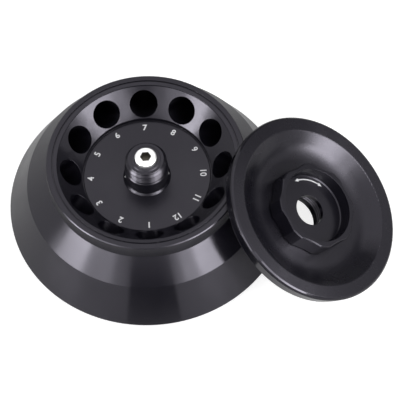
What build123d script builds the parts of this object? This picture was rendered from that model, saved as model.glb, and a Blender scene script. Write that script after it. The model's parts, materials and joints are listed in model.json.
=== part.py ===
"""Fixed angle rotor for twelve tubes, with its screw-down lid leaning against it.

The rotor stands on z = 0 with its spin axis on Z. The lid has been taken off: its lower edge
stands on the same surface and its underside leans on the rotor's collar.
"""
import os
from math import asin, cos, pi, radians, sin, tan

from build123d import *

os.makedirs("parts", exist_ok=True)

# ---------------------------------------------------------------- driving dimensions, mm

# tubes
tube_count = 12
tube_dia = 16.6
tube_clearance = 0.2          # radial room round a tube
bore_angle = 43.0             # between each bore and the spin axis
bore_straight = 24.0          # cylindrical length below the mouth
bore_depth = 46.0             # mouth to tip, along the bore
bore_tip_r = 2.5
mouth_circle_r = 45.4         # bore mouths' centres, from the spin axis
first_bore_azimuth = -91.9    # bore 1 faces the front

# rotor body, outside
body_r = 84.2
foot_r = 73.0                 # outer edge of the standing land
skirt_z = 8.0                 # widest edge above the foot
crease_r = 72.6
crease_z = 33.2
collar_r = 60.0
collar_foot_z = 48.1
rim_z = 58.0
rim_chamfer = 0.6
skirt_chamfer = 0.5           # under the widest edge, square to the bores

# rotor body, rim and bowl
rim_groove_r = 56.2
rim_groove_width = 0.9
rim_groove_depth = 0.9
inner_land_r = 53.5
inner_land_drop = 0.3         # the land falls inward by this much
bowl_step = 0.9               # small step between land and bowl
bowl_floor_r = 38.9
floor_z = 40.7
floor_groove_width = 0.7
floor_groove_depth = 0.5
floor_chamfer = 0.3

# rotor body, underside
boss_r = 20.0
relief_r = 42.0               # outer wall of the relief between boss and foot
relief_depth = 14.0
relief_draft = 2.0

hub_bore_r = 10.0             # one bore through the middle, for the bush and the spigot's stem

# drive bush, pressed up into the boss
shaft_r = 6.0
shaft_bore_length = 24.0
bush_flange_r = 14.0
bush_flange_height = 3.0

# lid spigot, screwed into the rotor from above
pilot_r = 13.0                # plain length that centres the knob
pilot_height = 10.4
spigot_foot_r = 14.3
spigot_foot_height = 1.3
spigot_thread_r = 12.45       # crest of the thread above the pilot
spigot_thread_length = 7.7    # with its lead-in
nose_r = 11.1
nose_groove = 0.4
cap_height = 0.8
cap_chamfer = 0.35
cap_step_r = 8.9
cap_step = 0.25
stem_length = 11.0
spigot_pin_r = 1.5
spigot_pin_length = 6.0
spigot_pin_circle_r = 11.8
spigot_pin_count = 2
spigot_pin_reach = 1.2        # up into the spigot's foot
spigot_seal_cord = 1.5
seal_groove_room = 0.5        # a seal's groove is this much wider than its cord

# fixing screw and what keeps it captive
screw_r = 4.0
screw_length = 30.0
screw_head_r = 6.5
screw_head_height = 8.0
screw_head_chamfer = 0.7
screw_head_proud = 2.6
screw_tip_chamfer = 0.8
hex_flats = 6.0
hex_depth = 4.0
screw_room = 0.5              # radial room round the shank
head_room = 0.45              # radial room round the head
washer_thickness = 1.2
washer_room = 0.2
clip_thickness = 1.0
clip_groove_depth = 0.6
clip_height = 1.6             # how far the clip stands out of its groove
clip_play = 0.5
clip_gap = 2.4

# lid disc, heights measured down from its flat ring
lid_r = 58.4
lid_edge = 0.55               # steep bevel at the top edge
lid_edge_drop = 1.6
lid_shoulder = 0.85           # shallow bevel between it and the flat ring
lid_shoulder_drop = 0.65
lid_line_depth = 0.5          # fine turned line below the bevel
lid_line_width = 0.6
lid_thickness = 9.1
lid_foot_r = 56.9
lid_foot_chamfer = 0.5
lid_ring_inner_r = 49.6       # flat ring meets the dish
dish_depth = 8.0
dish_wall_angle = 38.0        # from the flat ring
dish_round = 1.2              # blend at the top of the dish
dish_foot_round = 16.0        # blend at the bottom of the dish
lid_seat_width = 4.4
lid_web = 5.4                 # thickness under the dish floor
lid_web_r = 35.0              # flat underside reaches out to here
lid_hollow_r = 51.8
lid_hollow_drop = 6.5         # roof of the hollow inside the seat
lid_boss_r = 24.0
lid_boss_height = 1.2
rim_seal_cord = 2.0
rim_seal_proud = 0.3

# lid knob
knob_lobes = 8
knob_tip_r = 26.8
knob_valley_r = 25.3
scallop_r = 40.0
knob_lobe_round = 2.0
knob_lobe_azimuth = -78.0
knob_proud = 4.2              # above the lid's flat ring
knob_edge = 0.6
recess_r = 23.1
recess_floor_r = 22.2
recess_depth = 8.4
recess_ledge = 0.6            # bevel where the recess wall meets its floor
key_hole_r = 9.5
key_hole_length = 3.0
sleeve_wall = 3.8
sleeve_drop = 21.0            # sleeve end below the lid's flat ring
sleeve_lead = 1.2
running_fit = 0.08
axial_play = 0.05             # between turning faces
knob_washer_r = 24.0
knob_washer_thickness = 0.8
knob_clip_thickness = 1.2
knob_clip_groove_depth = 0.9
knob_clip_height = 2.0
knob_clip_gap = 5.0
slip_washer_r = 21.0
slip_washer_thickness = 0.6
knob_seal_cord = 1.8
knob_seal_gap = 0.02

# how the lid leans
lean_tilt = 34.7              # lid axis from vertical
lean_azimuth = -17.3          # lid centre as seen from the spin axis
lean_turn = 5.04              # lid axis swings this far from that direction
lean_gap = 0.02               # air left where lid and collar meet

# ---------------------------------------------------------------- worked-out sizes

bore_r = tube_dia / 2 + tube_clearance
slope = tan(radians(bore_angle))
land_foot_z = rim_z - inner_land_drop
bowl_top_z = land_foot_z - bowl_step
bowl_floor_z = bowl_top_z - (inner_land_r - bowl_floor_r) * slope
mouth_z = bowl_top_z - (inner_land_r - mouth_circle_r) * slope
pilot_top_z = floor_z + spigot_foot_height + pilot_height
spigot_thread_top_z = pilot_top_z + spigot_thread_length
nose_top_z = spigot_thread_top_z + nose_groove
spigot_top_z = nose_top_z + cap_height
stem_foot_z = floor_z - stem_length
head_seat_z = spigot_top_z + screw_head_proud - screw_head_height
washer_top_z = head_seat_z - axial_play
screw_hole_r = screw_r + screw_room
head_hole_r = screw_head_r + head_room
screw_tip_z = head_seat_z - screw_length
clip_top_z = stem_foot_z - clip_play
clip_core_r = screw_r - clip_groove_depth
dish_floor = -dish_depth
lid_underside = dish_floor - lid_web
lid_boss_face = lid_underside - lid_boss_height
sleeve_r = pilot_r + sleeve_wall
lid_hole_r = sleeve_r + running_fit
knob_foot = dish_floor + knob_washer_thickness + axial_play
recess_floor = knob_proud - recess_depth
socket_roof = recess_floor - key_hole_length
knob_clip_top = lid_boss_face - slip_washer_thickness - axial_play
knob_clip_core_r = sleeve_r - knob_clip_groove_depth


def seal_ring(section_plane, spin, radius, height, cord):
    """Round-cord seal ring about an axis, its cord's centre at (radius, height) in the plane."""
    with BuildPart() as ring:
        with BuildSketch(section_plane):
            with Locations((radius, height)):
                Circle(cord / 2)
        revolve(axis=spin)
    return ring.part


def flat_ring(plane, inner_r, outer_r, thickness):
    """Washer lying under a plane."""
    with BuildPart() as ring:
        with BuildSketch(plane):
            Circle(outer_r)
            Circle(inner_r, mode=Mode.SUBTRACT)
        extrude(amount=-thickness)
    return ring.part


def split_ring(plane, inner_r, outer_r, thickness, gap):
    """Snap ring lying under a plane, open by a gap on its +X side."""
    with BuildPart() as ring:
        with BuildSketch(plane):
            Circle(outer_r)
            Circle(inner_r, mode=Mode.SUBTRACT)
            with Locations((outer_r, 0)):
                Rectangle(2 * (outer_r - inner_r) + inner_r, gap, mode=Mode.SUBTRACT)
        extrude(amount=-thickness)
    return ring.part


# ---------------------------------------------------------------- where the lid leans

# the lid's underside from its foot inward, as (radius, height) points
lid_foot_points = [(lid_foot_r - lid_foot_chamfer, -lid_thickness)]
lid_hollow_points = [
    (lid_foot_r - lid_foot_chamfer - lid_seat_width, -lid_thickness),
    (lid_hollow_r, -lid_hollow_drop),
    (lid_web_r, lid_underside),
    (lid_boss_r, lid_underside),
]


def underside_height(radius):
    """Height of the hollow's roof over a radius, along the straight runs of its section."""
    for (r_out, h_out), (r_in, h_in) in zip(lid_hollow_points, lid_hollow_points[1:]):
        if r_in <= radius <= r_out:
            return h_out + (h_in - h_out) * (r_out - radius) / (r_out - r_in)
    return -lid_thickness if radius > lid_hollow_r else lid_underside


def lid_pose(distance):
    """Centre of the lid's flat ring, and its axis, with its foot on the ground."""
    tilt = radians(lean_tilt)
    place = radians(lean_azimuth)
    turn = radians(lean_azimuth + lean_turn)
    axis = Vector(sin(tilt) * cos(turn), sin(tilt) * sin(turn), cos(tilt))
    foot_low = max(
        lid_foot_points[0][0] * sin(tilt) + lid_thickness * cos(tilt),
        lid_foot_r * sin(tilt) + (lid_thickness - lid_foot_chamfer) * cos(tilt),
    )
    return Vector(distance * cos(place), distance * sin(place), foot_low), axis


def collar_gap(distance):
    """Smallest height of the lid's hollow above the collar's top corner, along the lid axis."""
    centre, axis = lid_pose(distance)
    gaps = []
    for step in range(-90, 91):
        azimuth = radians(lean_azimuth + step / 2)
        for r, z in ((collar_r - rim_chamfer, rim_z), (collar_r, rim_z - rim_chamfer)):
            arm = Vector(r * cos(azimuth), r * sin(azimuth), z) - centre
            height = arm.dot(axis)
            radius = (arm - axis * height).length
            if radius < lid_r:
                gaps.append(underside_height(radius) - height)
    return min(gaps, default=lid_r)


near, far = collar_r, collar_r + 2 * lid_r
while far - near > 1e-6:
    middle = (near + far) / 2
    if collar_gap(middle) < lean_gap:
        near = middle
    else:
        far = middle
lid_centre, lid_axis = lid_pose(far)
lid_x = Vector(0, 1, 0).cross(lid_axis).normalized()
lid_plane = Plane(origin=lid_centre, x_dir=lid_x, z_dir=lid_axis)
lid_section = Plane(origin=lid_centre, x_dir=lid_x, z_dir=lid_x.cross(lid_axis))
lid_spin = Axis(lid_centre, lid_axis)


# ---------------------------------------------------------------- rotor

# one bore, lying in the XZ plane at azimuth 0, with room to spare above its mouth
mouth = Vector(mouth_circle_r, 0, mouth_z)
bore_out = Vector(-sin(radians(bore_angle)), 0, cos(radians(bore_angle)))
bore_section = Plane(origin=mouth, x_dir=(0, 1, 0), z_dir=Vector(0, 1, 0).cross(bore_out))
taper = asin((bore_r - bore_tip_r) / (bore_depth - bore_straight - bore_tip_r))
with BuildPart() as tube_bore:
    with BuildSketch(bore_section):
        with BuildLine():
            tip_side = (bore_tip_r * cos(taper), -bore_depth + bore_tip_r - bore_tip_r * sin(taper))
            Polyline((0, bore_r), (bore_r, bore_r), (bore_r, -bore_straight), tip_side)
            tip_mid = (
                bore_tip_r * cos((taper + pi / 2) / 2),
                -bore_depth + bore_tip_r - bore_tip_r * sin((taper + pi / 2) / 2),
            )
            ThreePointArc(tip_side, tip_mid, (0, -bore_depth))
            Line((0, -bore_depth), (0, bore_r))
        make_face()
    revolve(axis=Axis(mouth, bore_out))

with BuildPart() as rotor_body:
    with BuildSketch(Plane.XZ):
        with BuildLine():
            Polyline(
                (bush_flange_r, 0),
                (boss_r, 0),
                (boss_r + relief_draft, relief_depth),
                (relief_r - relief_draft, relief_depth),
                (relief_r, 0),
                (foot_r, 0),
                (body_r - skirt_chamfer, skirt_z - skirt_chamfer * slope),
                (body_r, skirt_z),
                (crease_r, crease_z),
                (collar_r, collar_foot_z),
                (collar_r, rim_z - rim_chamfer),
                (collar_r - rim_chamfer, rim_z),
                (rim_groove_r + rim_groove_width / 2, rim_z),
                (rim_groove_r + rim_groove_width / 2, rim_z - rim_groove_depth),
                (rim_groove_r - rim_groove_width / 2, rim_z - rim_groove_depth),
                (rim_groove_r - rim_groove_width / 2, rim_z),
                (inner_land_r, land_foot_z),
                (inner_land_r, bowl_top_z),
                (bowl_floor_r, bowl_floor_z),
                (bowl_floor_r, floor_z - floor_groove_depth),
                (bowl_floor_r - floor_groove_width, floor_z - floor_groove_depth),
                (bowl_floor_r - floor_groove_width, floor_z - floor_chamfer),
                (bowl_floor_r - floor_groove_width - floor_chamfer, floor_z),
                (hub_bore_r, floor_z),
                (hub_bore_r, bush_flange_height),
                (bush_flange_r, bush_flange_height),
                close=True,
            )
        make_face()
    revolve(axis=Axis.Z)
    with PolarLocations(0, tube_count, start_angle=first_bore_azimuth):
        add(tube_bore.part, mode=Mode.SUBTRACT)
    with BuildSketch(Plane.XY.offset(floor_z)):
        with PolarLocations(spigot_pin_circle_r, spigot_pin_count):
            Circle(spigot_pin_r)
    extrude(amount=-spigot_pin_length, mode=Mode.SUBTRACT)
rotor_body.part.label = "rotor_body"

with BuildPart() as drive_bush:
    with BuildSketch(Plane.XZ):
        with BuildLine():
            Polyline(
                (shaft_r, 0),
                (bush_flange_r, 0),
                (bush_flange_r, bush_flange_height),
                (hub_bore_r, bush_flange_height),
                (hub_bore_r, shaft_bore_length),
                (shaft_r, shaft_bore_length),
                close=True,
            )
        make_face()
    revolve(axis=Axis.Z)
drive_bush.part.label = "drive_bush"


# the spigot: foot, pilot, thread, nose and cap, on a stem sunk in the rotor
stem_seal_z = floor_z - stem_length / 2
stem_groove_half = (spigot_seal_cord + seal_groove_room) / 2
with BuildPart() as lid_spigot:
    with BuildSketch(Plane.XZ):
        with BuildLine():
            Polyline(
                (screw_hole_r, stem_foot_z),
                (hub_bore_r, stem_foot_z),
                (hub_bore_r, stem_seal_z - stem_groove_half),
                (hub_bore_r - spigot_seal_cord, stem_seal_z - stem_groove_half),
                (hub_bore_r - spigot_seal_cord, stem_seal_z + stem_groove_half),
                (hub_bore_r, stem_seal_z + stem_groove_half),
                (hub_bore_r, floor_z),
                (spigot_foot_r, floor_z),
                (pilot_r, floor_z + spigot_foot_height),
                (pilot_r, pilot_top_z + spigot_thread_r - pilot_r),
                (spigot_thread_r, pilot_top_z),
                (spigot_thread_r, spigot_thread_top_z + nose_r - spigot_thread_r),
                (nose_r, spigot_thread_top_z),
                (nose_r - nose_groove, spigot_thread_top_z),
                (nose_r - nose_groove, nose_top_z),
                (nose_r, nose_top_z),
                (nose_r, spigot_top_z - cap_step - cap_chamfer),
                (nose_r - cap_chamfer, spigot_top_z - cap_step),
                (cap_step_r, spigot_top_z - cap_step),
                (cap_step_r - cap_step, spigot_top_z),
                (head_hole_r, spigot_top_z),
                (head_hole_r, washer_top_z - washer_thickness),
                (screw_hole_r, washer_top_z - washer_thickness),
                close=True,
            )
        make_face()
    revolve(axis=Axis.Z)
    with BuildSketch(Plane.XY.offset(floor_z)):
        with PolarLocations(spigot_pin_circle_r, spigot_pin_count):
            Circle(spigot_pin_r)
    extrude(amount=spigot_pin_reach, mode=Mode.SUBTRACT)
lid_spigot.part.label = "lid_spigot"

with BuildPart() as spigot_pins:
    with BuildSketch(Plane.XY.offset(floor_z - spigot_pin_length)):
        with PolarLocations(spigot_pin_circle_r, spigot_pin_count):
            Circle(spigot_pin_r)
    extrude(amount=spigot_pin_length + spigot_pin_reach)
spigot_pins.part.label = "spigot_pins"

spigot_seal = seal_ring(
    Plane.XZ, Axis.Z, hub_bore_r - spigot_seal_cord / 2, stem_seal_z, spigot_seal_cord
)
spigot_seal.label = "spigot_seal"

# ---------------------------------------------------------------- fixing screw

screw_washer = flat_ring(
    Plane.XY.offset(washer_top_z), screw_hole_r, head_hole_r - washer_room, washer_thickness
)
screw_washer.label = "screw_washer"

head_top_z = head_seat_z + screw_head_height
with BuildPart() as fixing_screw:
    with BuildSketch(Plane.XZ):
        with BuildLine():
            Polyline(
                (0, screw_tip_z),
                (screw_r - screw_tip_chamfer, screw_tip_z),
                (screw_r, screw_tip_z + screw_tip_chamfer),
                (screw_r, clip_top_z - clip_thickness),
                (clip_core_r, clip_top_z - clip_thickness),
                (clip_core_r, clip_top_z),
                (screw_r, clip_top_z),
                (screw_r, head_seat_z),
                (screw_head_r, head_seat_z),
                (screw_head_r, head_top_z - screw_head_chamfer),
                (screw_head_r - screw_head_chamfer, head_top_z),
                (0, head_top_z),
                close=True,
            )
        make_face()
    revolve(axis=Axis.Z)
    with BuildSketch(Plane.XY.offset(head_top_z)):
        RegularPolygon(hex_flats / 2, 6, major_radius=False)
    extrude(amount=-hex_depth, mode=Mode.SUBTRACT)
fixing_screw.part.label = "fixing_screw"

screw_clip = split_ring(
    Plane.XY.offset(clip_top_z), clip_core_r, screw_r + clip_height, clip_thickness, clip_gap
)
screw_clip.label = "screw_clip"

# ---------------------------------------------------------------- lid

lid_seat_inner_r = lid_hollow_points[0][0]
lid_seat_outer_r = lid_foot_points[0][0]
rim_seal_r = (lid_seat_inner_r + lid_seat_outer_r) / 2
rim_seal_half = (rim_seal_cord + seal_groove_room) / 2
rim_seal_roof = -lid_thickness + rim_seal_cord - rim_seal_proud
knob_seal_r = sleeve_r + knob_seal_gap + knob_seal_cord / 2
knob_seal_h = (dish_floor + lid_boss_face) / 2
knob_seal_half = (knob_seal_cord + seal_groove_room) / 2
dish_corner_r = lid_ring_inner_r - dish_depth / tan(radians(dish_wall_angle))
with BuildPart() as lid_disc:
    with BuildSketch(lid_section) as lid_profile:
        with BuildLine():
            Polyline(
                (lid_hole_r, dish_floor),
                (lid_hole_r, knob_seal_h + knob_seal_half),
                (lid_hole_r + knob_seal_cord, knob_seal_h + knob_seal_half),
                (lid_hole_r + knob_seal_cord, knob_seal_h - knob_seal_half),
                (lid_hole_r, knob_seal_h - knob_seal_half),
                (lid_hole_r, lid_boss_face),
                (lid_boss_r, lid_boss_face),
                *reversed(lid_hollow_points[1:]),
                (lid_seat_inner_r, -lid_thickness),
                (rim_seal_r - rim_seal_half, -lid_thickness),
                (rim_seal_r - rim_seal_half, rim_seal_roof),
                (rim_seal_r + rim_seal_half, rim_seal_roof),
                (rim_seal_r + rim_seal_half, -lid_thickness),
                (lid_seat_outer_r, -lid_thickness),
                (lid_foot_r, -lid_thickness + lid_foot_chamfer),
                (lid_r, -lid_edge_drop - lid_line_width),
                (lid_r - lid_line_depth, -lid_edge_drop - lid_line_width),
                (lid_r - lid_line_depth, -lid_edge_drop),
                (lid_r, -lid_edge_drop),
                (lid_r - lid_edge, -lid_shoulder_drop),
                (lid_r - lid_edge - lid_shoulder, 0),
                (lid_ring_inner_r, 0),
                (dish_corner_r, dish_floor),
                close=True,
            )
        make_face()
        fillet(lid_profile.vertices().sort_by_distance((lid_ring_inner_r, 0))[0], dish_round)
        fillet(lid_profile.vertices().sort_by_distance((dish_corner_r, dish_floor))[0], dish_foot_round)
    revolve(axis=lid_spin)
lid_disc.part.label = "lid_disc"

rim_seal = seal_ring(
    lid_section, lid_spin, rim_seal_r, rim_seal_roof - rim_seal_cord / 2, rim_seal_cord
)
rim_seal.label = "rim_seal"

knob_seal = seal_ring(lid_section, lid_spin, knob_seal_r, knob_seal_h, knob_seal_cord)
knob_seal.label = "knob_seal"

knob_washer = flat_ring(
    lid_plane.offset(knob_foot - axial_play), lid_hole_r, knob_washer_r, knob_washer_thickness
)
knob_washer.label = "knob_washer"

slip_washer = flat_ring(
    lid_plane.offset(lid_boss_face), lid_hole_r, slip_washer_r, slip_washer_thickness
)
slip_washer.label = "slip_washer"

# the knob: scalloped grip with a sunk face, on a threaded sleeve that runs in the lid
with BuildPart() as lid_knob:
    with BuildSketch(lid_plane.offset(knob_foot)) as grip:
        Circle(knob_tip_r)
        with PolarLocations(
            knob_valley_r + scallop_r, knob_lobes, start_angle=knob_lobe_azimuth + 180 / knob_lobes
        ):
            Circle(scallop_r, mode=Mode.SUBTRACT)
        fillet(grip.vertices(), knob_lobe_round)
    extrude(amount=knob_proud - knob_foot)
    chamfer(lid_knob.faces().sort_by(lid_spin)[-1].edges(), knob_edge)
    with BuildSketch(lid_section):
        with BuildLine():
            Polyline(
                (0, knob_foot),
                (sleeve_r, knob_foot),
                (sleeve_r, knob_clip_top),
                (knob_clip_core_r, knob_clip_top),
                (knob_clip_core_r, knob_clip_top - knob_clip_thickness),
                (sleeve_r, knob_clip_top - knob_clip_thickness),
                (sleeve_r, -sleeve_drop),
                (0, -sleeve_drop),
                close=True,
            )
        make_face()
    revolve(axis=lid_spin)
    with BuildSketch(lid_section):
        with BuildLine():
            Polyline(
                (0, knob_proud),
                (recess_r, knob_proud),
                (recess_floor_r, recess_floor + recess_ledge),
                (recess_floor_r - recess_ledge, recess_floor),
                (key_hole_r, recess_floor),
                (key_hole_r, socket_roof),
                (pilot_r, socket_roof),
                (pilot_r, -sleeve_drop + sleeve_lead),
                (pilot_r + sleeve_lead, -sleeve_drop),
                (0, -sleeve_drop),
                close=True,
            )
        make_face()
    revolve(axis=lid_spin, mode=Mode.SUBTRACT)
lid_knob.part.label = "lid_knob"

knob_clip = split_ring(
    lid_plane.offset(knob_clip_top),
    knob_clip_core_r,
    sleeve_r + knob_clip_height,
    knob_clip_thickness,
    knob_clip_gap,
)
knob_clip.label = "knob_clip"

# ---------------------------------------------------------------- write the pieces

pieces = [
    rotor_body.part,
    drive_bush.part,
    lid_spigot.part,
    spigot_pins.part,
    spigot_seal,
    screw_washer,
    fixing_screw.part,
    screw_clip,
    lid_disc.part,
    rim_seal,
    knob_seal,
    knob_washer,
    slip_washer,
    lid_knob.part,
    knob_clip,
]
for piece in pieces:
    export_step(piece, f"parts/{piece.label}.step")

print("lid centre, mm:", [round(value, 5) for value in lid_centre])
print("lid axis:", [round(value, 8) for value in lid_axis])
print("screw seat height, mm:", round(head_seat_z, 4))
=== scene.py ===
# %% [markdown]
# # A fixed angle rotor and its lid
#
# The rotor is a bench centrifuge's: one turned, black anodised body with twelve slanted bores, a
# threaded spigot in its bowl, and a lid that leans on it. The imported model already has every piece at
# its real size and place. So this lesson loads it and dresses it: finishes, threads, print, light and
# a camera. A box round the undressed pieces is kept, and the floor is set just under it.

# %% Load the imported model
import json
from collections import namedtuple
from math import cos, degrees, pi, radians, sin

import bpy
import numpy as np
from mathutils import Matrix, Quaternion, Vector


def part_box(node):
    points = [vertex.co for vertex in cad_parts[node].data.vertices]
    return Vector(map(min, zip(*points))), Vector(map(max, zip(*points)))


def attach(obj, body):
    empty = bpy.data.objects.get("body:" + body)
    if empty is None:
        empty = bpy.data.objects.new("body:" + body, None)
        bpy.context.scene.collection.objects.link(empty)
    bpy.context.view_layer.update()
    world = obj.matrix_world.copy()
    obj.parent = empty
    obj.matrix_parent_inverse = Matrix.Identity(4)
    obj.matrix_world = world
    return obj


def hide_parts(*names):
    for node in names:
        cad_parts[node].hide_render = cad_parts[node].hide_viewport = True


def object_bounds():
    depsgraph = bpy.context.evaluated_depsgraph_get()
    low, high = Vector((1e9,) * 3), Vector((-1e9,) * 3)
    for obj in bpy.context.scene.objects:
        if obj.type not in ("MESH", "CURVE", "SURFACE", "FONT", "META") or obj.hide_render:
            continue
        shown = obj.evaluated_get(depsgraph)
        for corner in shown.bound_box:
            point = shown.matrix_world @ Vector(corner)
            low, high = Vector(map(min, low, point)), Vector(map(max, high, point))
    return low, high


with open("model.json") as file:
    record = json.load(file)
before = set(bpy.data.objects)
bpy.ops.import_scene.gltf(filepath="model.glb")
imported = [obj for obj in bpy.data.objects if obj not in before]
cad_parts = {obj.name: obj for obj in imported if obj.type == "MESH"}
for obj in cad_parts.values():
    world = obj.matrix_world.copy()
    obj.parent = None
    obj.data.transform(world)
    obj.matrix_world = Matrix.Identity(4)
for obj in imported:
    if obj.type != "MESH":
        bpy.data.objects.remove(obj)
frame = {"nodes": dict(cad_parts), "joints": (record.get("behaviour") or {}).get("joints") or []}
cad_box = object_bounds()
nodes = frame["nodes"]
MM = 0.001
print("pieces:", len(nodes))

# %% [markdown]
# ## Where things are
#
# The rotor spins about Z. The lid has an axis of its own, which is the axis of the hinge that its knob
# turns on, so the model already says where the lid is and how it leans. From that axis comes a small
# frame for the lid: a matrix that carries a flat drawing onto the lid's ring.

# %% The two spin axes
UP = Vector((0, 0, 1))
knob_hinge = next(joint for joint in frame["joints"] if joint["child"] == "knob")
lid_centre = Vector(knob_hinge["pos_m"])
lid_axis = Vector(knob_hinge["axis"]).normalized()
lid_x = Vector((0, 1, 0)).cross(lid_axis).normalized()
lid_y = lid_axis.cross(lid_x)
lid_turn = Matrix((lid_x, lid_y, lid_axis)).transposed()
lid_frame = Matrix.Translation(lid_centre) @ lid_turn.to_4x4()
rotor_frame = Matrix.Identity(4)
print("the lid leans by", round(degrees(lid_axis.angle(UP)), 1), "degrees")

# %% [markdown]
# ## Shader helpers
#
# Every finish here is a small graph of nodes. It could be drawn in the shader editor, but a script has
# to add each node and link each socket, which soon hides what the graph is for. A few helpers keep the
# graphs short: one adds a node and fills its sockets, and the others make the sums, noises and colours
# that come up again and again.


# %% Add a node, start a material
def add_node(tree, kind, settings=None, **inputs):
    """A node of a kind, its properties set and its inputs filled or linked.

    An input is named with _ for each space, or by _ and its number where several share a name.
    """
    made = tree.nodes.new(kind)
    for name, value in (settings or {}).items():
        setattr(made, name, value)
    for name, value in inputs.items():
        socket = made.inputs[int(name[1:])] if name[1:].isdigit() else made.inputs[name.replace("_", " ")]
        if isinstance(value, bpy.types.NodeSocket):
            tree.links.new(value, socket)
        else:
            socket.default_value = value
    return made


def start_material(name, colour, roughness, metallic=0.0, ior=1.5):
    """A material whose Principled shader has these constant values, with its tree and shader."""
    material = bpy.data.materials.new(name)
    material.use_nodes = True
    shader = material.node_tree.nodes["Principled BSDF"]
    shader.inputs["Base Color"].default_value = (*colour, 1)
    shader.inputs["Roughness"].default_value = roughness
    shader.inputs["Metallic"].default_value = metallic
    shader.inputs["IOR"].default_value = ior
    return material, material.node_tree, shader


# %% Sums, noises and colours
def math_node(tree, operation, first, second=0.0):
    """The value of a two-input sum on sockets or numbers."""
    return add_node(tree, "ShaderNodeMath", {"operation": operation}, _0=first, _1=second).outputs[0]


def noise(tree, point, scale, detail, roughness=0.5):
    """Noise from 0 to 1 at a point: scale is in cells to the metre, and each detail adds finer ones."""
    return add_node(
        tree, "ShaderNodeTexNoise", Vector=point, Scale=scale, Detail=detail, Roughness=roughness
    ).outputs["Fac"]


def mixed_colour(tree, factor, low, high):
    """The colour that runs from low to high as the factor goes from 0 to 1."""
    colours = {"_6": (*low, 1), "_7": (*high, 1)}
    return add_node(tree, "ShaderNodeMix", {"data_type": "RGBA"}, Factor=factor, **colours).outputs[2]


# %% [markdown]
# ## Turned marks
#
# A lathe leaves fine rings about the spin axis, on the black pieces and on the steel ones. They could be
# painted on with a wave texture, but that makes them all alike. Here the graph turns a point into its
# radius and height about the axis, and gives noise on those two numbers to the bump. The noise can't
# change round the axis, so it makes rings, and each ring is different.


# %% Radius and height about an axis
def spin_coordinates(tree, placed):
    """A point in a frame, its part across the frame's Z axis, and its radius and height about that axis."""
    point = add_node(tree, "ShaderNodeTexCoord").outputs["Object"]
    local = add_node(
        tree, "ShaderNodeMapping", {"vector_type": "TEXTURE"},
        Vector=point, Location=tuple(placed.to_translation()), Rotation=tuple(placed.to_euler()),
    ).outputs[0]
    parts = add_node(tree, "ShaderNodeSeparateXYZ", Vector=local)
    flat = add_node(tree, "ShaderNodeCombineXYZ", X=parts.outputs[0], Y=parts.outputs[1], Z=0.0).outputs[0]
    radius = add_node(tree, "ShaderNodeVectorMath", {"operation": "LENGTH"}, _0=flat).outputs["Value"]
    return local, flat, radius, parts.outputs[2]


# %% Rings in the bump
RING_DEPTH = 0.003 * MM


def turning_rings(tree, radius, height, scale, detail, roughness=0.5, **normal):
    """A bumped normal whose height is noise at the point (radius, height, 0)."""
    ring_point = add_node(tree, "ShaderNodeCombineXYZ", X=radius, Y=height, Z=0.0).outputs[0]
    rings = noise(tree, ring_point, scale, detail, roughness)
    return add_node(
        tree, "ShaderNodeBump", Height=rings, Strength=1.0, Distance=RING_DEPTH, **normal
    ).outputs[0]


# %% [markdown]
# ## Black anodising
#
# Anodising turns the skin of aluminium into a hard, clear oxide, which is dyed black. A dark metal
# shader is the first thing to try, but it is as bright straight on as at a glance. The oxide reflects as
# glass does, little straight on and much at a glance, so it is a plain shader with an almost black base,
# the oxide's index and a faint violet in its shine. The rings stretch each reflection across them, and
# Anisotropic does that with a tangent that runs round the axis. A Bevel node rounds the edges in the
# shading alone, so that each one catches a thin line of light, as a deburred edge does. A slow noise
# varies the roughness, as handling does, and past a given radius the lid's edge is cut finer.

# %% Handling and brushing
HANDLING = 0.03


def handled(tree, local, roughness):
    """Roughness that wanders by HANDLING either way, over patches as wide as a finger."""
    patches = noise(tree, local, 55.0, 4.0, 0.55)
    low, high = roughness - HANDLING, roughness + HANDLING
    return add_node(tree, "ShaderNodeMapRange", Value=patches, _1=0.3, _2=0.7, _3=low, _4=high).outputs[0]


def round_axis(tree, flat, placed):
    """The direction that runs round a frame's axis: Z cross a point's part across the axis."""
    around = add_node(
        tree, "ShaderNodeVectorMath", {"operation": "CROSS_PRODUCT"}, _0=(0.0, 0.0, 1.0), _1=flat
    ).outputs[0]
    return add_node(
        tree, "ShaderNodeMapping", {"vector_type": "VECTOR"}, Vector=around, Rotation=tuple(placed.to_euler())
    ).outputs[0]


# %% The anodised finish
OXIDE_INDEX = 1.47
OXIDE_SHINE = (0.91, 0.87, 1.0, 1)
EDGE_ROUND = 0.25 * MM
EDGE_ROUGHNESS = 0.09
GRAIN = 0.4
QUARTER_TURN = 0.25


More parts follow.
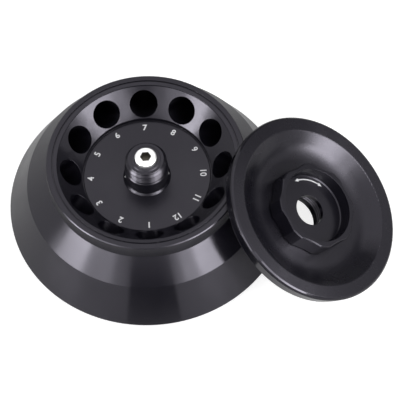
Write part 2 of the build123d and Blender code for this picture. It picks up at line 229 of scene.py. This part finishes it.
def anodised(name, placed, colour, roughness=0.24, brushing=0.85, gloss=0.5, edge_from=None):
    """Black anodised aluminium, turned about a frame's Z axis, and smoother past the radius edge_from."""
    material, tree, shader = start_material(name, colour, roughness, ior=OXIDE_INDEX)
    shader.inputs["Specular Tint"].default_value = OXIDE_SHINE
    shader.inputs["Specular IOR Level"].default_value = gloss
    local, flat, radius, height = spin_coordinates(tree, placed)
    edges = add_node(tree, "ShaderNodeBevel", {"samples": 6}, Radius=EDGE_ROUND).outputs[0]
    bumped = turning_rings(tree, radius, height, 2600.0, 3.0, 0.6, Normal=edges)
    tree.links.new(bumped, shader.inputs["Normal"])

    rough = handled(tree, local, roughness)
    if edge_from:
        on_edge = math_node(tree, "GREATER_THAN", radius, edge_from)
        smoother = math_node(tree, "MULTIPLY", on_edge, roughness - EDGE_ROUGHNESS)
        rough = math_node(tree, "SUBTRACT", rough, smoother)
    tree.links.new(rough, shader.inputs["Roughness"])

    grain = noise(tree, local, 1500.0, 2.0)
    dark, light = ([share * part for part in colour] for share in (1 - GRAIN, 1 + GRAIN))
    tree.links.new(mixed_colour(tree, grain, dark, light), shader.inputs["Base Color"])

    tree.links.new(round_axis(tree, flat, placed), shader.inputs["Tangent"])
    shader.inputs["Anisotropic"].default_value = brushing
    shader.inputs["Anisotropic Rotation"].default_value = QUARTER_TURN
    return material


# %% Four black finishes
BLACK = (0.0042, 0.0039, 0.0068)
LID_EDGE_FROM = 57.05 * MM
rotor_finish = anodised("anodised_rotor", rotor_frame, BLACK)
spigot_finish = anodised("anodised_spigot", rotor_frame, BLACK, 0.22)
lid_finish = anodised("anodised_lid", lid_frame, BLACK, 0.27, gloss=0.46, edge_from=LID_EDGE_FROM)
knob_finish = anodised("anodised_knob", lid_frame, BLACK, 0.24, brushing=0.3, gloss=0.38)
print("nodes in one anodised finish:", len(rotor_finish.node_tree.nodes))

# %% [markdown]
# ## Steel, rubber and plastic
#
# The bush, the pins, the washer and the screw are steel, and the two snap rings are darker spring
# steel. They have no dyed skin, so they are a metal shader with the same rings. The seals are rubber
# and the slip washers are plastic. Moulded parts have no rings, and without any marks they would look
# like glass, so they get a fine even grain.


# %% Turned steel, and moulded rubber or plastic
def turned_steel(name, placed, colour, roughness, metallic=1.0):
    """Bare or plated steel with turning rings."""
    material, tree, shader = start_material(name, colour, roughness, metallic)
    local, flat, radius, height = spin_coordinates(tree, placed)
    tree.links.new(turning_rings(tree, radius, height, 4000.0, 2.0), shader.inputs["Normal"])
    return material, tree, shader, radius, height


def grained(name, colour, roughness):
    """Rubber, plastic or ink with a fine grain."""
    material, tree, shader = start_material(name, colour, roughness)
    point = add_node(tree, "ShaderNodeTexCoord").outputs["Object"]
    grain = noise(tree, point, 1200.0, 3.0)
    bump = add_node(tree, "ShaderNodeBump", Height=grain, Strength=0.6, Distance=0.02 * MM)
    tree.links.new(bump.outputs[0], shader.inputs["Normal"])
    return material


steel = turned_steel("turned_steel", rotor_frame, (0.6, 0.6, 0.61), 0.3)[0]
spring_steel = turned_steel("spring_steel", lid_frame, (0.3, 0.3, 0.31), 0.35)[0]
seal_rubber = grained("seal_rubber", (0.02, 0.02, 0.02), 0.6)
slip_plastic = grained("slip_plastic", (0.78, 0.77, 0.74), 0.45)
print_white = grained("print_white", (0.85, 0.85, 0.87), 0.5)
plain_finishes = (steel, spring_steel, seal_rubber, slip_plastic, print_white)
print("plain finishes:", [finish.name for finish in plain_finishes])

# %% [markdown]
# ## The fixing screw
#
# The fixing screw is bright plated, and its socket is darker: partly grease and partly painted shade,
# which stands for the shade in the recess. A second material on the socket's faces would need the mesh
# to be split. But the socket is where the radius is under the hexagon's corners and the height is under
# the head's top, so the same two numbers that make the rings also say where to paint it darker.

# %% Plating, with grease and painted shade in the socket
PLATING = (0.93, 0.93, 0.93)
# the socket's colour: partly grease, partly painted shade that stands for the shade in the recess
SOCKET_GREASE_AND_SHADE = (0.10, 0.09, 0.075)
SOCKET_REACH = 3.5 * MM
SOCKET_STARTS = 0.15 * MM
screw_plating, tree, shader, radius, height = turned_steel(
    "screw_plating", rotor_frame, PLATING, 0.42, metallic=0.75
)
head_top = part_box("fixing_screw")[1].z
within = math_node(tree, "LESS_THAN", radius, SOCKET_REACH)
below = math_node(tree, "LESS_THAN", height, head_top - SOCKET_STARTS)
# the socket, where grease and painted shade darken the plating's colour
grease_and_shade_mask = math_node(tree, "MULTIPLY", within, below)
tree.links.new(mixed_colour(tree, grease_and_shade_mask, PLATING, SOCKET_GREASE_AND_SHADE), shader.inputs["Base Color"])
print("the screw's head ends", round(head_top / MM, 2), "mm up")

# %% [markdown]
# ## Hand out the finishes
#
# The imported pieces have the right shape, so each keeps its mesh and only gets a finish. Its one material
# slot is emptied and filled again. The spigot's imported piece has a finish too, although a threaded one
# takes its place further on.

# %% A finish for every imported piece
finishes = {
    "rotor_body": rotor_finish, "lid_spigot": spigot_finish, "lid_disc": lid_finish, "lid_knob": knob_finish,
    "drive_bush": steel, "spigot_pins": steel, "screw_washer": steel, "fixing_screw": screw_plating,
    "screw_clip": spring_steel, "knob_clip": spring_steel, "spigot_seal": seal_rubber,
    "rim_seal": seal_rubber, "knob_seal": seal_rubber, "knob_washer": slip_plastic,
    "slip_washer": slip_plastic,
}
for node_name, finish in finishes.items():
    nodes[node_name].data.materials.clear()
    nodes[node_name].data.materials.append(finish)
print("pieces with a finish:", len(finishes), "of", len(nodes))

# %% [markdown]
# ## Threads
#
# The lid is held by a thread: a knob on the lid screws onto the spigot in the bowl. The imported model
# has plain cylinders there, so the ridges are made here. They could be a helix joined on with a
# boolean, which leaves a rough seam. Instead a thread is a surface of revolution whose radius also
# depends on how far the helix has climbed: radius is one function of a turn and a height. The ridge is
# a rounded wave, and it fades out at both ends, as where a cutter enters and leaves.

# %% The thread's wave
Thread = namedtuple("Thread", "start end radius")
THREAD_PITCH = 1.75 * MM
THREAD_DEPTH = 0.7 * MM
THREAD_ROWS_PER_PITCH = 14
FADE_PITCHES = 0.6
RIDGE_SHAPE = 0.8


def thread_wave(height, turn, thread):
    """How high the ridge stands, from 0 in the valley to 1 at the crest.

    It is half of 1 - cos of the phase, height / pitch - turn, to the power RIDGE_SHAPE. Near either end
    of the thread the valleys rise to the crest.
    """
    phase = (height / THREAD_PITCH - turn) % 1.0
    ridge = 0.5 - 0.5 * np.cos(2 * pi * phase)
    from_end = np.minimum(height - thread.start, thread.end - height)
    fade = np.clip(from_end / (FADE_PITCHES * THREAD_PITCH), 0, 1)
    return 1 - fade * (1 - ridge ** RIDGE_SHAPE)


def crest_rows(thread):
    """Profile rows up a thread at its radius, close enough together to draw the ridges."""
    count = int(THREAD_ROWS_PER_PITCH * (thread.end - thread.start) / THREAD_PITCH)
    heights = np.linspace(thread.start, thread.end, count)
    return np.column_stack([np.full(count, thread.radius), heights])


# %% A lathe that can cut a thread
LATHE_SIDES = 144
SAME_RADIUS = 0.01 * MM


def lathe(profile, thread, inward=False):
    """Points and quads of a closed profile, (radius, height) rows, spun about Z.

    A point is (r cos a, r sin a, h). On rows within the thread, r loses the thread's depth times 1 minus
    the wave, or gains as much on an inner wall.
    """
    radius, height = np.asarray(profile, float).T
    turn = np.arange(LATHE_SIDES) / LATHE_SIDES
    rings = np.repeat(radius[:, None], LATHE_SIDES, axis=1)
    on_thread = (height > thread.start) & (height < thread.end)
    on_thread &= np.abs(radius - thread.radius) < SAME_RADIUS
    depth = THREAD_DEPTH * (1 - thread_wave(height[on_thread, None], turn[None, :], thread))
    rings[on_thread] += depth if inward else -depth
    angle = 2 * pi * turn
    heights = np.repeat(height[:, None], LATHE_SIDES, axis=1)
    points = np.stack([rings * np.cos(angle), rings * np.sin(angle), heights], axis=-1).reshape(-1, 3)
    row, side = np.meshgrid(np.arange(len(profile)), np.arange(LATHE_SIDES), indexing="ij")
    after, across = (row + 1) % len(profile), (side + 1) % LATHE_SIDES
    corners = ((row, side), (row, across), (after, across), (after, side))
    faces = np.stack([r * LATHE_SIDES + s for r, s in corners], axis=-1).reshape(-1, 4)
    return points, faces.tolist()


# %% [markdown]
# ## New pieces
#
# A new piece has to say which body it moves with and which of the model's finishes it has. Its object
# stays at the origin, so its place has to be in its mesh: points that are worked out flat, or about Z,
# are carried to their place by a matrix first. Edges flatter than a crease angle are shaded smooth.


# %% Carry points, make a piece
def carried(points, matrix):
    """Points after a 4 by 4 matrix: each is turned, then moved."""
    return points @ np.array(matrix.to_3x3()).T + np.array(matrix.translation)


def new_piece(name, points, faces, body, material, crease=None):
    """A mesh object at the origin that rides on a body. With a crease angle it is smooth below it."""
    mesh = bpy.data.meshes.new(name)
    mesh.from_pydata(points.tolist(), [], faces)
    mesh.update()
    if crease:
        mesh.polygons.foreach_set("use_smooth", np.ones(len(mesh.polygons), bool))
        mesh.set_sharp_from_angle(angle=radians(crease))
    mesh.materials.append(material)
    piece = bpy.data.objects.new(name, mesh)
    bpy.context.scene.collection.objects.link(piece)
    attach(piece, body)
    print(name, "has", len(faces), "faces and rides on", body)
    return piece


# %% [markdown]
# ## The spigot
#
# The spigot stands in the middle of the floor disc. From below it has a stem with a groove for a seal,
# a foot with a chamfer, a plain pilot that centres the lid, the thread, a narrow groove, and a short cap
# with the hole for the fixing screw. A thread's valleys can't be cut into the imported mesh, so the whole
# spigot is turned again here, to the same sizes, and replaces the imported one. Its profile goes up the
# outside and down the hole, in millimetres: each pair is a radius and a height.

# %% The threaded spigot
DISC_TOP_MM = 40.7
SPIGOT_THREAD = Thread(52.4 * MM, 58.75 * MM, 12.45 * MM)
THREAD_CREASE = 38
stem = [(4.5, 29.7), (10, 29.7)]
seal_groove = [(10, 34.2), (8.5, 34.2), (8.5, 36.2), (10, 36.2)]
foot_and_pilot = [(10, DISC_TOP_MM), (14.3, DISC_TOP_MM), (13, 42.0), (13, 51.85)]
cap_groove = [(11.1, 60.1), (10.7, 60.1), (10.7, 60.5), (11.1, 60.5)]
cap = [(11.1, 60.7), (10.75, 61.05), (8.9, 61.05), (8.65, 61.3)]
screw_hole = [(6.95, 61.3), (6.95, 54.6), (4.5, 54.6)]
spigot_profile = np.vstack([
    np.array(stem + seal_groove + foot_and_pilot) * MM,
    crest_rows(SPIGOT_THREAD),
    np.array(cap_groove + cap + screw_hole) * MM,
])
spigot_points, spigot_faces = lathe(spigot_profile, SPIGOT_THREAD)
spigot = new_piece(
    "threaded_spigot", spigot_points, spigot_faces, "rotor", spigot_finish,
    crease=THREAD_CREASE,
)
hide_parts("lid_spigot")

# %% [markdown]
# ## The thread in the knob
#
# The knob's sleeve has the matching thread inside. It shows from below, through the open end of the
# sleeve. Here only the threaded lining is new, because the sleeve's wall is right as it is: a thin ring
# whose inner wall has the ridges and whose outer wall sits just inside the sleeve's own metal. Its
# points are worked out about Z and then carried to the lid by the lid's matrix.

# %% The sleeve's thread
SLEEVE_THREAD = Thread(-15.6 * MM, -8.2 * MM, 11.85 * MM)
SLEEVE_METAL = 13.1 * MM
LINING_LIP = 0.7 * MM
lining_profile = np.vstack([
    [(SLEEVE_METAL, SLEEVE_THREAD.start - LINING_LIP), (SLEEVE_METAL, SLEEVE_THREAD.end + LINING_LIP)],
    crest_rows(SLEEVE_THREAD)[::-1],
])
lining_points, lining_faces = lathe(lining_profile, SLEEVE_THREAD, inward=True)
new_piece(
    "sleeve_thread", carried(lining_points, lid_frame), lining_faces, "knob", knob_finish,
    crease=THREAD_CREASE,
)

# %% [markdown]
# ## Print
#
# The numbers beside the bores are printed: they stand a hair above the floor disc. An image would blur
# from close by, so each is a text object turned into a mesh, scaled to its height, and carried to its
# place by one matrix. The top of each points outward, so the number by the back bore reads upright.
# Bore 1 is at the front, and they count clockwise as seen from above.

# %% A number as a mesh
NUMBER_HEIGHT = 4.0 * MM
NUMBER_WEIGHT = 0.022


def number_mesh(text):
    """A number as a flat mesh: its faces, and its points with its middle at the origin."""
    curve = bpy.data.curves.new("number", "FONT")
    curve.body = text
    curve.resolution_u = 5
    curve.offset = NUMBER_WEIGHT
    draft = bpy.data.objects.new("number", curve)
    bpy.context.scene.collection.objects.link(draft)
    mesh = bpy.data.meshes.new_from_object(draft.evaluated_get(bpy.context.evaluated_depsgraph_get()))
    bpy.data.objects.remove(draft)
    points = np.empty(3 * len(mesh.vertices))
    mesh.vertices.foreach_get("co", points)
    points = points.reshape(-1, 3)
    low, high = points.min(0), points.max(0)
    faces = [list(polygon.vertices) for polygon in mesh.polygons]
    return faces, (points - (low + high) / 2) * NUMBER_HEIGHT / (high[1] - low[1])


# %% Numbers beside the bores
BORE_COUNT = 12
FIRST_BORE = radians(-91.9)
NUMBER_CIRCLE = 33.85 * MM
PRINT_THICKNESS = 0.04 * MM
number_points, number_faces = [], []
for bore in range(BORE_COUNT):
    faces, points = number_mesh(str(bore + 1))
    azimuth = FIRST_BORE - bore * 2 * pi / BORE_COUNT
    outward = Vector((cos(azimuth), sin(azimuth), 0))
    turn = Matrix((outward.cross(UP), outward, UP)).transposed().to_4x4()
    middle = outward * NUMBER_CIRCLE + UP * (DISC_TOP_MM * MM + PRINT_THICKNESS)
    place = Matrix.Translation(middle) @ turn
    offset = sum(len(p) for p in number_points)
    number_points.append(carried(points, place))
    number_faces += [[corner + offset for corner in face] for face in faces]
new_piece("bore_numbers", np.vstack(number_points), number_faces, "rotor", print_white)

# %% [markdown]
# ## The arrow on the knob
#
# A printed arrow in the knob's recess shows that it turns both ways. It is a band of constant width
# along an arc, with a head at each end. It could be put together from a curve and two triangles. But
# along the band one parameter runs from end to end, and the half width is a function of it: nothing at
# the tip, wide at the back of the head, then narrow for the shaft. So one formula draws it all.

# %% The double arrow
ARROW_RADIUS = 19.5 * MM
ARROW_START, ARROW_END = radians(63.2), radians(121.9)
ARROW_HALF_WIDTH = 0.38 * MM
ARROW_HEAD_HALF_WIDTH = 1.15 * MM
ARROW_HEAD_SHARE = 0.13
HEAD_BACK = 1e-4
RECESS_FLOOR = -4.2 * MM


def arrow_half_width(t):
    """Half width at t from 0 to 1: a straight taper over each head's share, the shaft's width between.

    At the back of a head the width jumps, so the steps below have two rows there, HEAD_BACK apart.
    """
    from_end = np.minimum(t, 1 - t)
    head = from_end / ARROW_HEAD_SHARE * ARROW_HEAD_HALF_WIDTH
    return np.where(from_end < ARROW_HEAD_SHARE, head, ARROW_HALF_WIDTH)


head_steps = [ARROW_HEAD_SHARE, ARROW_HEAD_SHARE - HEAD_BACK]
head_steps += [1 - ARROW_HEAD_SHARE, 1 - ARROW_HEAD_SHARE + HEAD_BACK]
steps = np.unique(np.r_[np.linspace(0, 1, 61), head_steps])
sweep = ARROW_START + (ARROW_END - ARROW_START) * steps
level = np.full(len(steps), RECESS_FLOOR + PRINT_THICKNESS)
rows = []
for side in (-1, 1):
    band = ARROW_RADIUS + side * arrow_half_width(steps)
    rows.append(np.column_stack([band * np.cos(sweep), band * np.sin(sweep), level]))
count = len(steps)
arrow_faces = [[i, i + count, i + count + 1, i + 1] for i in range(count - 1)]
arrow_points = carried(np.vstack(rows), lid_frame)
new_piece("turn_arrow", arrow_points, arrow_faces, "knob", print_white)

# %% [markdown]
# ## The floor
#
# The rotor stands on a plain pale floor. A disc is enough, because the room beyond it is just as
# pale. The floor takes the shadow in the usual way, and its paint adds a glow to the rays that come
# from the camera, from a gloss or through a gap, so they see a bright floor. The glow is weaker in a
# gloss, because the black flank would mirror too much of it. It doesn't light the rotor: the rays that
# carry diffuse light get none of it.


# %% Rays that see the glow, and meshes of the set
def showing_rays(tree):
    """1 for a ray that shows a thing as it looks: a camera, glossy or transmission ray."""
    rays = add_node(tree, "ShaderNodeLightPath")
    direct = math_node(tree, "MAXIMUM", rays.outputs["Is Camera Ray"], rays.outputs["Is Glossy Ray"])
    return math_node(tree, "MAXIMUM", direct, rays.outputs["Is Transmission Ray"])


def stage_mesh(name, points, faces, material):
    """A mesh object that belongs to the set and not to the rotor."""
    mesh = bpy.data.meshes.new(name)
    mesh.from_pydata(points.tolist(), [], faces)
    mesh.materials.append(material)
    prop = bpy.data.objects.new(name, mesh)
    bpy.context.scene.collection.objects.link(prop)
    return prop


# %% The floor
FLOOR_RADIUS = 0.45
FLOOR_SIDES = 96
FLOOR_GAP = 0.02 * MM
FLOOR_GLOW = 0.78
FLOOR_GLOSS_GLOW = 0.4
floor_paint, tree, shader = start_material("floor_paint", (0.6, 0.6, 0.6), 1.0)
shader.inputs["Specular IOR Level"].default_value = 0.0
shader.inputs["Emission Color"].default_value = (1, 1, 1, 1)
rays = add_node(tree, "ShaderNodeLightPath")
seen = math_node(tree, "MULTIPLY", showing_rays(tree), FLOOR_GLOW)
held_back = math_node(tree, "MULTIPLY", rays.outputs["Is Glossy Ray"], FLOOR_GLOW - FLOOR_GLOSS_GLOW)
tree.links.new(math_node(tree, "SUBTRACT", seen, held_back), shader.inputs["Emission Strength"])
angles = np.linspace(0, 2 * pi, FLOOR_SIDES, endpoint=False)
floor_height = cad_box[0][2] - FLOOR_GAP
floor_points = np.column_stack(
    [FLOOR_RADIUS * np.cos(angles), FLOOR_RADIUS * np.sin(angles), np.full(FLOOR_SIDES, floor_height)]
)
stage_mesh("floor", floor_points, [list(range(FLOOR_SIDES))], floor_paint)
print("floor radius:", FLOOR_RADIUS, "m")

# %% [markdown]
# ## The room
#
# Black anodising has almost no colour of its own: what it shows is the room. So the room is white to
# the same rays that see the floor glow, and the light that it gives to the surfaces is a lower, plain
# level. One Map Range node picks between the two levels.

# %% The room's light
AMBIENT = 0.38
world = bpy.data.worlds.new("room")
bpy.context.scene.world = world
world.use_nodes = True
tree = world.node_tree
background = tree.nodes["Background"]
strength = add_node(tree, "ShaderNodeMapRange", Value=showing_rays(tree), _3=AMBIENT, _4=1.0).outputs[0]
background.inputs["Color"].default_value = (1, 1, 1, 1)
tree.links.new(strength, background.inputs["Strength"])
print("room light:", AMBIENT)

# %% [markdown]
# ## Soft boxes
#
# Two tall soft boxes stand at the front left and front right, and their reflections are the bright
# streaks on the cone, in the bowl and on the lid. A third hangs overhead and lifts the disc in the
# bowl. A soft box is brighter in its middle, so each tall one is made of nested lamps: a wide weak one
# that lights everything, and narrower ones inside it that only show in reflections, so that the black
# metal shines and nothing else gets too bright. Where a reflection should be is easiest to say as a
# window of directions, so a lamp's size is worked out from its window.

# %% Hang a lamp
aim = Vector((30.5, -13.4, 30.0)) * MM
LAMP_DISTANCE = 0.5


def window(low, high):
    """Length of a lamp that fills a span of directions, in degrees, at the lamps' distance."""
    return 2 * LAMP_DISTANCE * np.tan(radians(high - low) / 2)


def hang_lamp(name, direction, width, height, watts_per_square_metre, lights):
    """A rectangular lamp that faces the rotor from a direction."""
    lamp = bpy.data.lights.new(name, "AREA")
    lamp.shape = "RECTANGLE"
    lamp.size, lamp.size_y = width, height
    lamp.energy = watts_per_square_metre * width * height
    box = bpy.data.objects.new(name, lamp)
    bpy.context.scene.collection.objects.link(box)
    box.location = aim + LAMP_DISTANCE * direction
    box.rotation_euler = direction.to_track_quat("Z", "Y").to_euler()
    box.visible_diffuse = lights


def soft_box(name, azimuths, elevations, watts_per_square_metre, lights=False):
    """A lamp that fills a window of azimuths and elevations."""
    azimuth, elevation = radians(sum(azimuths) / 2), radians(sum(elevations) / 2)
    direction = Vector((cos(elevation) * cos(azimuth), cos(elevation) * sin(azimuth), sin(elevation)))
    width = window(*azimuths) * cos(elevation)
    hang_lamp(name, direction, width, window(*elevations), watts_per_square_metre, lights)


# %% Two tall soft boxes and one overhead
soft_box("left_wide", (-178, -112), (10, 50), 4.0, lights=True)
soft_box("left_core", (-174, -124), (8, 40), 10.0)
soft_box("left_heart", (-168, -146), (10, 36), 40.0)
soft_box("right_wide", (-82, -4), (8, 60), 5.0, lights=True)
soft_box("right_core", (-74, -16), (12, 50), 14.0)
soft_box("right_heart", (-60, -24), (12, 38), 28.0)
overhead_width = window(56, 124)
hang_lamp("overhead", UP, overhead_width, overhead_width, 1.5, lights=True)
print("lamps:", len(bpy.data.lights))

# %% [markdown]
# ## Flags
#
# A flag is a dark screen that stands where a shiny thing should reflect nothing bright. A small one
# close to the front gives the dark stripe down the middle of the cone, with crisp edges. A large one
# stands to the right and behind, and keeps the far half of the lid dark. A low one beside it darkens
# the foot of the lid. Each is an arc of a cylinder about the rotor's axis: its two parameters are the
# azimuth and the height. The camera doesn't see them, and they throw no shadow.

# %% A curved flag
FLAG_STEPS = 25
flag_paint = start_material("flag_paint", (0.32, 0.32, 0.32), 1.0)[0]


def stage_flag(name, radius, azimuths, height):
    """A curved screen: points (r cos a, r sin a, h), a over the azimuths, h from the floor to a height."""
    azimuth = np.radians(np.linspace(*azimuths, FLAG_STEPS))
    ring = radius * np.column_stack([np.cos(azimuth), np.sin(azimuth)])
    edges = [np.column_stack([ring, np.full(FLAG_STEPS, h)]) for h in (floor_height, height)]
    faces = [[i, i + 1, i + 1 + FLAG_STEPS, i + FLAG_STEPS] for i in range(FLAG_STEPS - 1)]
    flag = stage_mesh(name, np.vstack(edges), faces, flag_paint)
    flag.visible_camera = flag.visible_diffuse = flag.visible_shadow = False
    return flag


# %% Three flags
flags = [
    stage_flag("front_flag", 130 * MM, (-105.5, -79), 68 * MM),
    stage_flag("side_flag", 420 * MM, (16, 104), 430 * MM),
    stage_flag("low_flag", 420 * MM, (-14, 16), 75 * MM),
]
print("flags:", len(flags))

# %% [markdown]
# ## The camera
#
# A long lens from far off keeps the circles close to true ellipses. The camera aims at the middle of
# the rotor and its lid together, and is rolled a little. It is turned by a quaternion, because a roll
# about the line of sight is then one product.

# %% The camera
CAMERA_PLACE = Vector((0, -1.57833, 2.75126))
CAMERA_ROLL = radians(-3.68)
lens = bpy.data.cameras.new("camera")
lens.sensor_width = 36
lens.lens = 470.4
lens.clip_end = 10
camera = bpy.data.objects.new("camera", lens)
bpy.context.scene.collection.objects.link(camera)
camera.location = CAMERA_PLACE
level_view = (CAMERA_PLACE - aim).to_track_quat("Z", "Y")
camera.rotation_mode = "QUATERNION"
camera.rotation_quaternion = level_view @ Quaternion((0, 0, 1), CAMERA_ROLL)
bpy.context.scene.camera = camera
bpy.context.scene.view_settings.view_transform = "Standard"
print("the camera is", round((CAMERA_PLACE - aim).length, 2), "m away")
